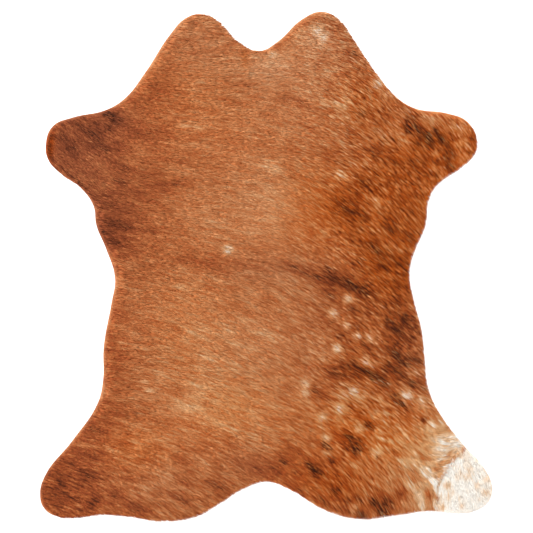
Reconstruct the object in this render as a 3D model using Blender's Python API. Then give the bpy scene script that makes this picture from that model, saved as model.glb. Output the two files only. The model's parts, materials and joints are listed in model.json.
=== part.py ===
# Small cowhide rug, hair side up, lying flat on a floor.
#
# The rug is one cut piece of hair-on hide: a sheet of leather with its short lying coat on top.
# The solid takes in both, so its outline runs round the hair tips and its top is the face of the
# coat. Metres, +Z up. The origin is on the floor under the middle of the hide, +Y points to the
# neck, and +X to the side with the white lower leg.

from collections import namedtuple
import math

import bmesh
import bpy
from mathutils import Vector, noise

# Thicknesses.
LEATHER = 0.0022              # the tanned hide alone
BACK_COAT = 0.0040            # depth of the lying coat over the back
LEG_COAT = 0.0028             # depth of the shorter coat at the ends of the legs
SHANK_COAT = 0.0020           # depth of the very short white hair on the shank

# The coat rolls over the cut edge: how far in it is at full depth, and where rings of faces follow
# the roll, as shares of that width.
ROLL_WIDTH = 0.009
ROLL_RINGS = (0.14, 0.42, 1.0)

# The coat thins towards the ends of the legs, between these distances from the spine.
LEG_START = 0.26
LEG_END = 0.38

# Slow swells in the coat where the hide is thicker or thinner.
SWELL_HEIGHT = 0.0006
SWELL_LENGTH = 0.11

# The coat turns at the flank: long hair of the thigh meets short hair of the shank in a crest.
CREST_HEIGHT = 0.0012
CREST_WIDTH = 0.008
SHANK_BLEND = 0.010           # width over which the coat changes depth beside the crest

# Spacing of the lines that cut the top into faces, over the hide and round the crest.
TOP_PITCH = 0.018
CREST_PITCH = 0.006
CREST_MARGIN = 0.030

STEPS_PER_SPAN = 6            # straight steps between two points of the outline
ONE_POINT = 0.000001          # points nearer to each other than this are one
SLIVER = 0.0004               # edges shorter than this are closed up
SHARP_EDGE = math.radians(50.0)

EdgePoint = namedtuple("EdgePoint", "place x y")
CrestPoint = namedtuple("CrestPoint", "place x y")

# The cut edge, clockwise from the neck. The hide is 0.80 m across the hind legs, 0.90 m long.
OUTLINE = (
    EdgePoint("neck notch", -0.012, 0.379),
    EdgePoint("right ear, inner foot", 0.020, 0.395),
    EdgePoint("right ear, inner side", 0.064, 0.435),
    EdgePoint("right ear, top", 0.100, 0.448),
    EdgePoint("right ear, outer crown", 0.133, 0.430),
    EdgePoint("right ear, outer side", 0.153, 0.402),
    EdgePoint("right neck", 0.189, 0.346),
    EdgePoint("right neck, foot", 0.227, 0.300),
    EdgePoint("right shoulder hollow", 0.262, 0.278),
    EdgePoint("right foreleg, upper side", 0.319, 0.269),
    EdgePoint("right foreleg, upper corner", 0.355, 0.254),
    EdgePoint("right foreleg, tip", 0.372, 0.217),
    EdgePoint("right foreleg, lower corner", 0.367, 0.195),
    EdgePoint("right foreleg, lower side", 0.343, 0.172),
    EdgePoint("right armpit, outer", 0.300, 0.140),
    EdgePoint("right armpit", 0.286, 0.112),
    EdgePoint("right ribs, upper", 0.281, 0.072),
    EdgePoint("right ribs", 0.260, 0.020),
    EdgePoint("right waist", 0.253, -0.014),
    EdgePoint("right flank, upper", 0.259, -0.055),
    EdgePoint("right flank", 0.274, -0.112),
    EdgePoint("right flank, lower", 0.280, -0.169),
    EdgePoint("right thigh hollow", 0.286, -0.214),
    EdgePoint("right thigh", 0.300, -0.249),
    EdgePoint("right hind leg, outer side", 0.345, -0.311),
    EdgePoint("right shank", 0.384, -0.355),
    EdgePoint("right hind tip, outer corner", 0.398, -0.391),
    EdgePoint("right hind tip, corner", 0.392, -0.414),
    EdgePoint("right hind tip, lower corner", 0.370, -0.431),
    EdgePoint("right hind tip, end", 0.334, -0.436),
    EdgePoint("right hind leg, end hollow", 0.290, -0.4315),
    EdgePoint("right buttock, outer", 0.226, -0.440),
    EdgePoint("right buttock", 0.167, -0.446),
    EdgePoint("right buttock, inner", 0.109, -0.432),
    EdgePoint("right of the tail notch", 0.040, -0.392),
    EdgePoint("tail notch", 0.004, -0.3795),
    EdgePoint("left of the tail notch", -0.034, -0.390),
    EdgePoint("left buttock, inner", -0.085, -0.421),
    EdgePoint("left buttock, corner", -0.120, -0.4405),
    EdgePoint("left buttock", -0.184, -0.4495),
    EdgePoint("left buttock, outer", -0.237, -0.442),
    EdgePoint("left hind leg, end hollow", -0.287, -0.438),
    EdgePoint("left hind tip, end", -0.336, -0.4435),
    EdgePoint("left hind tip, lower corner", -0.371, -0.440),
    EdgePoint("left hind tip, corner", -0.391, -0.426),
    EdgePoint("left hind tip, outer corner", -0.398, -0.404),
    EdgePoint("left shank", -0.390, -0.370),
    EdgePoint("left hind leg, outer side", -0.341, -0.307),
    EdgePoint("left thigh", -0.296, -0.240),
    EdgePoint("left thigh hollow", -0.287, -0.200),
    EdgePoint("left flank", -0.286, -0.143),
    EdgePoint("left flank, upper", -0.272, -0.064),
    EdgePoint("left waist", -0.266, -0.022),
    EdgePoint("left ribs", -0.282, 0.031),
    EdgePoint("left ribs, upper", -0.299, 0.072),
    EdgePoint("left armpit", -0.304, 0.106),
    EdgePoint("left foreleg, lower side", -0.327, 0.138),
    EdgePoint("left foreleg, lower corner", -0.367, 0.167),
    EdgePoint("left foreleg, tip corner", -0.384, 0.188),
    EdgePoint("left foreleg, tip", -0.388, 0.213),
    EdgePoint("left foreleg, upper corner", -0.376, 0.246),
    EdgePoint("left foreleg, upper side", -0.340, 0.262),
    EdgePoint("left shoulder hollow", -0.282, 0.275),
    EdgePoint("left neck, foot", -0.249, 0.295),
    EdgePoint("left neck", -0.212, 0.342),
    EdgePoint("left ear, outer side", -0.168, 0.409),
    EdgePoint("left ear, outer crown", -0.141, 0.437),
    EdgePoint("left ear, top", -0.113, 0.444),
    EdgePoint("left ear, inner crown", -0.086, 0.433),
    EdgePoint("left ear, inner foot", -0.045, 0.393),
)

# The crest, from the outer side of the leg down to its end. The shank is on its right.
CREST = (
    CrestPoint("outer side of the leg", 0.350, -0.312),
    CrestPoint("upper crease", 0.329, -0.341),
    CrestPoint("tuft", 0.317, -0.358),
    CrestPoint("point of the tuft", 0.305, -0.373),
    CrestPoint("lower crease", 0.301, -0.394),
    CrestPoint("end of the leg", 0.301, -0.436),
)


def blend(value, start, end):
    """Runs smoothly from 0 at start to 1 at end."""
    share = min(max((value - start) / (end - start), 0.0), 1.0)
    return share * share * (3.0 - 2.0 * share)


def from_crest(x, y):
    """Distance from the crest line, positive on the shank's side."""
    here = Vector((x, y))
    nearest = None
    for upper, lower in zip(CREST, CREST[1:]):
        start = Vector((upper.x, upper.y))
        run = Vector((lower.x, lower.y)) - start
        along = min(max((here - start).dot(run) / run.length_squared, 0.0), 1.0)
        away = here - (start + along * run)
        if nearest is None or away.length < abs(nearest):
            side = 1.0 if run.x * away.y - run.y * away.x > 0.0 else -1.0
            nearest = side * away.length
    return nearest


def coat_depth(x, y):
    """Depth of the lying coat over the leather, away from the cut edge."""
    depth = BACK_COAT + (LEG_COAT - BACK_COAT) * blend(abs(x), LEG_START, LEG_END)
    if x > 0.0 > y:
        away = from_crest(x, y)
        depth += (SHANK_COAT - depth) * blend(away, -SHANK_BLEND, SHANK_BLEND)
        depth += CREST_HEIGHT * math.exp(-((away / CREST_WIDTH) ** 2))
    return depth + SWELL_HEIGHT * noise.noise(Vector((x, y, 0.0)) / SWELL_LENGTH)


def flat_outline():
    """The outline as one flat face, made from a smooth closed curve through its points."""
    curve = bpy.data.curves.new("outline", "CURVE")
    curve.dimensions = "2D"
    curve.fill_mode = "BOTH"
    curve.resolution_u = STEPS_PER_SPAN
    spline = curve.splines.new("BEZIER")
    spline.bezier_points.add(len(OUTLINE) - 1)
    for point, edge in zip(spline.bezier_points, OUTLINE):
        point.co = (edge.x, edge.y, 0.0)
        point.handle_left_type = "AUTO"
        point.handle_right_type = "AUTO"
    spline.use_cyclic_u = True
    guide = bpy.data.objects.new("outline", curve)
    bpy.context.scene.collection.objects.link(guide)
    bpy.context.view_layer.update()
    evaluated = guide.evaluated_get(bpy.context.evaluated_depsgraph_get())
    filled = bpy.data.meshes.new_from_object(evaluated)
    bpy.data.objects.remove(guide)

    bm = bmesh.new()
    bm.from_mesh(filled)
    bpy.data.meshes.remove(filled)
    bmesh.ops.remove_doubles(bm, verts=bm.verts, dist=ONE_POINT)
    face = bmesh.ops.dissolve_faces(bm, faces=bm.faces)["region"][0]
    if face.normal.z < 0.0:
        face.normal_flip()
    return bm


def centre(bm):
    """Moves the outline so that the middle of its box is over the origin."""
    middle = Vector((0.0, 0.0, 0.0))
    for axis in (0, 1):
        places = [vert.co[axis] for vert in bm.verts]
        middle[axis] = 0.5 * (min(places) + max(places))
    bmesh.ops.translate(bm, vec=-middle, verts=bm.verts)


def roll_edge(bm, rise):
    """Rings of faces inside the cut edge, each with its share of the coat's depth."""
    inner = next(iter(bm.faces))
    done = 0.0
    for share in ROLL_RINGS:
        bmesh.ops.inset_region(bm, faces=[inner], thickness=(share - done) * ROLL_WIDTH,
                               use_boundary=True, use_even_offset=True)
        for vert in inner.verts:
            vert[rise] = math.sqrt(1.0 - (1.0 - share) ** 2)
        done = share
    return inner


def cut_lines(bm, ring_faces, pitch, low, high):
    """Cuts the faces inside the rings along lines, from corner low to corner high."""
    for axis in (0, 1):
        normal = Vector((1.0, 0.0, 0.0)) if axis == 0 else Vector((0.0, 1.0, 0.0))
        lines = int((high[axis] - low[axis]) / pitch)
        for line in range(lines + 1):
            faces = []
            for face in bm.faces:
                middle = face.calc_center_bounds()
                within = low.x <= middle.x <= high.x and low.y <= middle.y <= high.y
                if within and face not in ring_faces:
                    faces.append(face)
            edges = {edge for face in faces for edge in face.edges}
            verts = {vert for face in faces for vert in face.verts}
            bmesh.ops.bisect_plane(bm, geom=faces + list(edges) + list(verts), dist=ONE_POINT,
                                   plane_co=low + line * pitch * normal, plane_no=normal)


def close_below(bm):
    """Drops the cut edge to the floor and closes the flat underside."""
    rim = [edge for edge in bm.edges if edge.is_boundary]
    bmesh.ops.extrude_edge_only(bm, edges=rim)
    floor_edges = [edge for edge in bm.edges if edge.is_boundary]
    for edge in floor_edges:
        for vert in edge.verts:
            vert.co.z = 0.0
    bmesh.ops.contextual_create(bm, geom=floor_edges)


def hide_mesh():
    """The whole solid: outline, rolled rim, cut top with its relief, wall and underside."""
    bm = flat_outline()
    centre(bm)
    rise = bm.verts.layers.float.new("rise")
    inner = roll_edge(bm, rise)
    ring_faces = {face for face in bm.faces if face is not inner}

    low = Vector((min(vert.co.x for vert in bm.verts), min(vert.co.y for vert in bm.verts), 0.0))
    high = Vector((-low.x, -low.y, 0.0))
    cut_lines(bm, ring_faces, TOP_PITCH, low, high)
    crest_low = Vector((min(point.x for point in CREST) - CREST_MARGIN, low.y, 0.0))
    crest_high = Vector((high.x, max(point.y for point in CREST) + CREST_MARGIN, 0.0))
    cut_lines(bm, ring_faces, CREST_PITCH, crest_low, crest_high)
    bmesh.ops.dissolve_degenerate(bm, dist=SLIVER, edges=bm.edges)

    for vert in bm.verts:
        vert.co.z = LEATHER + vert[rise] * coat_depth(vert.co.x, vert.co.y)
    bm.verts.layers.float.remove(rise)
    close_below(bm)
    bmesh.ops.triangulate(bm, faces=bm.faces)
    bmesh.ops.recalc_face_normals(bm, faces=bm.faces)

    mesh = bpy.data.meshes.new("cowhide")
    bm.to_mesh(mesh)
    bm.free()
    return mesh


def coat_material():
    """Red-brown hair, slightly glossy."""
    material = bpy.data.materials.new("brown_coat")
    material.use_nodes = True
    shader = material.node_tree.nodes["Principled BSDF"]
    shader.inputs["Base Color"].default_value = (0.434, 0.144, 0.053, 1.0)
    shader.inputs["Roughness"].default_value = 0.6
    shader.inputs["Metallic"].default_value = 0.0
    return material


def build():
    """One hide, in a collection of its own."""
    for old in list(bpy.data.objects):
        bpy.data.objects.remove(old)
    rug = bpy.data.collections.new("cowhide_rug")
    bpy.context.scene.collection.children.link(rug)
    hide = bpy.data.objects.new("cowhide", hide_mesh())
    hide.data.materials.append(coat_material())
    hide.data.shade_smooth()
    hide.data.set_sharp_from_angle(angle=SHARP_EDGE)
    rug.objects.link(hide)


build()
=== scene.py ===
import json
import math
from collections import namedtuple

import bmesh
import bpy
import numpy as np
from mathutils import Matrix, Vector, geometry, kdtree

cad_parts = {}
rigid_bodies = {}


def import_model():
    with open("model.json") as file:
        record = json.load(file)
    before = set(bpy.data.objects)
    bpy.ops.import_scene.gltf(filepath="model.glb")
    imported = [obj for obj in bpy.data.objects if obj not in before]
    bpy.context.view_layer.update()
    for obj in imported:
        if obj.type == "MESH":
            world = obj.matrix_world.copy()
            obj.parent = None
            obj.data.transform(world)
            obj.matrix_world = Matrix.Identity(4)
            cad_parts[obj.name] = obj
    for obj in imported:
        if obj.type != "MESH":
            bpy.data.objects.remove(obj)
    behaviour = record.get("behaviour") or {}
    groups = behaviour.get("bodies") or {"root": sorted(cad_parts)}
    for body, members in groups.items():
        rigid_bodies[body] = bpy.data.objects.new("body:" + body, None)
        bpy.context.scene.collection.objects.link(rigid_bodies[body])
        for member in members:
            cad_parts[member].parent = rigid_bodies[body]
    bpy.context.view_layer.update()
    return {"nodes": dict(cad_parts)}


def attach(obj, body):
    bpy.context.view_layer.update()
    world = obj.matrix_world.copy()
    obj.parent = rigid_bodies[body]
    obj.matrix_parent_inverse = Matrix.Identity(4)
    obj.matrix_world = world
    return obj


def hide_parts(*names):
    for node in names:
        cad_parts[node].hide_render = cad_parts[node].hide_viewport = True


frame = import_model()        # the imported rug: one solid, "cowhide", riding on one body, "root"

# A small brown cowhide, hair side up, seen from straight above. The leather is one thin sheet, and
# the coat on it is some hundred and fifty thousand locks of hair, combed, coloured and laid.
# Tables are in millimetres from the middle of the hide, +x to the side with the white shank and
# +y to the neck. Angles are in degrees, turned up from +x. Everything else is in metres.

mm = 0.001
dice = np.random.default_rng(41)

Comb = namedtuple("Comb", "x y angle")
Area = namedtuple("Area", "x y long wide turn tone rust")
Mark = namedtuple("Mark", "x y long wide depth")
Fleck = namedtuple("Fleck", "x y size share")
Stroke = namedtuple("Stroke", "x y long wide turn tone share")

# which way the tips of the hair point, one stroke of the comb a row
bodyCombs = [Comb(*row) for row in (
    # ears and neck
    (-151, 372, -6), (-99, 416, -1), (-46, 372, 3), (7, 372, -6), (60, 372, -12), (113, 416, -19),
    (113, 320, -26), (166, 320, -42), (-204, 267, -11), (-99, 267, -5), (60, 240, -16),
    # left foreleg and shoulder
    (-363, 214, -50), (-340, 190, -40), (-310, 214, -29), (-310, 161, -28), (-257, 240, -20),
    (-257, 108, -13), (-151, 135, -8),
    # right foreleg and shoulder
    (218, 267, -47), (271, 267, -44), (324, 214, -56), (360, 200, -58), (271, 214, -46),
    (218, 161, -44), (271, 108, -52), (166, 214, -36), (113, 214, -28), (7, 214, -11),
    # back
    (-46, 135, -10), (60, 135, -31), (139, 108, -39), (218, 55, -47), (-257, 29, -14),
    (-151, 29, -13), (-46, 29, -14), (60, 29, -29), (166, 3, -37), (236, -24, -42),
    (-257, -77, -9), (-151, -77, -18), (-46, -77, -23), (60, -77, -29), (166, -103, -36),
    (236, -129, -42), (-257, -182, -8), (-151, -182, -16), (-46, -182, -23), (60, -182, -31),
    (166, -182, -33), (245, -200, -38),
    # rump and hind legs
    (-310, -288, -14), (-204, -288, -14), (-99, -288, -23), (7, -288, -20), (113, -288, -32),
    (218, -288, -43), (271, -288, -41), (-363, -376, -17), (-257, -367, -24), (-151, -376, -28),
    (-46, -358, -30), (60, -350, -36), (139, -367, -46), (218, -367, -52), (-363, -420, -22),
    (-310, -420, -30), (-204, -420, -33), (148, -420, -59), (236, -420, -68),
)]

# the thigh hair sweeps round and up to the crest, and falls straight below the tuft
thighCombs = [Comb(*row) for row in (
    (284, -300, -34), (300, -296, -12), (318, -292, 4), (336, -302, 14), (290, -322, -24),
    (306, -330, 6), (322, -334, 38), (300, -346, 4), (310, -352, 30), (282, -350, -36),
    (292, -366, -44), (276, -372, -58), (290, -392, -72), (292, -420, -80), (270, -410, -70),
)]

# very short hair on the shank, on the far side of the crest
shankCombs = [Comb(*row) for row in (
    (344, -322, -66), (336, -344, -80), (324, -366, -92), (316, -388, -96), (310, -420, -90),
    (352, -350, -66), (346, -380, -84), (340, -410, -86), (372, -366, -60), (384, -390, -64),
    (368, -412, -74),
)]

# the crest where thigh and shank meet, from the outer side of the leg down to its end
crestLine = [(352, -306), (330, -324), (319, -344), (307, -361), (297, -373), (300, -394), (301, -436)]

# broad shading: soft areas that lighten or darken the coat and turn it rusty
coatAreas = [Area(*row) for row in (
    # ears and neck
    (-190, 320, 45, 20, 50, -0.06, 0.00), (10, 330, 90, 50, 0, 0.05, -0.20),
    (95, 402, 26, 26, 0, 0.09, -0.30), (175, 300, 60, 26, -50, -0.02, 0.08),
    (5, 350, 38, 17, 0, 0.09, -0.20), (-37, 365, 5, 14, 0, -0.10, 0.50), (124, 420, 12, 17, 0, -0.09, 0.04),
    (170, 290, 45, 45, 0, 0.00, 0.55), (-100, 300, 60, 50, 0, 0.00, 0.20),
    (-120, 395, 45, 40, 0, 0.02, -0.25), (-160, 290, 38, 34, 0, -0.03, 0.00),
    # left foreleg and shoulder
    (-345, 214, 40, 44, 0, -0.20, -0.20), (-285, 245, 40, 30, 0, -0.10, -0.10),
    (-262, 262, 26, 14, 10, -0.08, -0.20), (-288, 110, 26, 70, 0, -0.12, 0.00),
    (-212, 160, 40, 45, 0, -0.06, 0.00), (-245, 95, 30, 55, 0, -0.08, 0.00),
    (-205, 245, 26, 26, 0, -0.05, 0.00), (-381, 208, 5, 22, -8, -0.15, 1.60),
    (-320, 130, 80, 120, 0, 0.00, -0.35), (-160, 143, 26, 9, -10, -0.07, 0.00),
    (-262, 198, 14, 14, 0, -0.07, 0.00), (-355, 182, 26, 14, -40, -0.06, 0.00),
    # right foreleg and shoulder
    (230, 120, 60, 62, 0, -0.16, 0.24), (145, 95, 30, 40, 0, -0.11, 0.20),
    (290, 200, 45, 34, 0, -0.09, 0.24), (345, 232, 26, 26, 0, -0.01, 0.12),
    (215, 110, 75, 85, 0, 0.00, 0.77), (330, 205, 60, 60, 0, 0.00, 0.62),
    (210, 249, 16, 12, -40, -0.07, 0.00), (172, 208, 22, 20, 0, -0.05, 0.00),
    (366, 220, 10, 22, 0, -0.13, 0.10), (195, 105, 22, 20, 0, 0.06, 0.00),
    # back
    (-278, 50, 24, 26, 0, -0.09, 0.00), (10, 118, 34, 46, 0, 0.09, -0.10), (-75, 85, 50, 44, 0, 0.05, 0.00),
    (-70, 4, 95, 10, -6, -0.08, 0.00), (-130, -45, 70, 20, 0, 0.04, 0.04),
    (195, -12, 50, 34, 0, -0.16, 0.24), (124, -29, 34, 12, -24, -0.09, 0.08),
    (85, 105, 45, 60, 0, 0.00, 0.50), (222, -10, 40, 60, 0, 0.00, 0.52), (20, -5, 70, 20, 0, 0.00, -0.30),
    (-160, 64, 26, 10, -12, -0.06, 0.00), (-81, -41, 24, 9, -14, -0.06, 0.00),
    (-240, 65, 40, 46, 0, -0.03, 0.00), (-60, 110, 45, 46, 0, 0.015, 0.00),
    (85, 200, 22, 16, 0, 0.05, 0.00), (40, -42, 22, 10, -20, 0.06, 0.00),
    # flanks and belly
    (-268, -150, 22, 90, 0, -0.07, 0.00), (-70, -125, 60, 30, -12, 0.07, 0.00),
    (-120, -235, 55, 40, -18, 0.11, 0.00), (-10, -240, 60, 45, 0, 0.05, 0.04),
    (236, -120, 24, 60, 0, -0.19, 0.20), (148, -92, 34, 28, 0, -0.09, 0.16),
    (160, -184, 46, 13, -10, -0.13, 0.12), (-60, -140, 75, 80, 0, 0.05, 0.00),
    (-269, -182, 12, 16, 0, -0.08, 0.00), (-150, -130, 75, 80, 0, 0.00, 0.25),
    (-70, -250, 50, 40, 0, 0.00, 0.40), (170, -165, 40, 50, 0, 0.00, 0.47),
    (197, -168, 34, 14, -30, -0.09, 0.00), (160, -122, 30, 24, -30, -0.08, 0.00),
    (112, -200, 20, 14, -20, -0.09, 0.00), (-225, -130, 30, 70, 0, 0.00, -0.15),
    (104, -173, 16, 12, 0, 0.06, 0.00), (-152, -217, 16, 12, 0, -0.07, 0.00),
    (-68, -147, 22, 9, -18, -0.07, 0.00),
    # rump and hind legs
    (205, -290, 46, 40, 0, 0.03, 0.16), (286, -325, 34, 60, 0, 0.20, 0.20),
    (-303, -420, 9, 15, 0, -0.12, 0.00), (180, -270, 110, 45, 0, 0.00, 0.60),
    (140, -380, 85, 36, -10, 0.00, 0.52), (-225, -325, 45, 30, 0, 0.00, 0.45),
    (215, -325, 40, 26, 0, 0.00, 0.35), (246, -272, 22, 16, -30, -0.09, 0.00),
    (-294, -266, 16, 22, -30, -0.07, 0.00), (-343, -358, 18, 16, 0, -0.07, 0.00),
    (-6, -316, 26, 18, 0, 0.06, 0.00), (-165, -278, 36, 10, -16, -0.07, 0.00),
    (-164, -310, 18, 10, -16, 0.05, 0.00), (-190, -375, 60, 40, 0, 0.01, -0.25),
    (-25, -345, 38, 24, 0, 0.00, -0.35), (210, -279, 16, 14, 0, 0.06, 0.00),
    (262, -385, 14, 14, 0, 0.06, 0.00), (48, -356, 24, 12, -20, 0.06, 0.00),
    (138, -288, 26, 40, 0, -0.07, 0.20), (-356, -398, 46, 46, 0, -0.20, 0.00),
    (-305, -325, 36, 44, 0, -0.08, -0.10), (-240, -425, 50, 18, 0, -0.10, 0.04),
    (-120, -370, 80, 40, 0, -0.03, 0.08), (36, -352, 56, 30, -10, -0.12, 0.08),
    (115, -395, 46, 28, 0, -0.06, 0.24), (202, -424, 22, 14, 10, -0.08, 0.08),
)]

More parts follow.
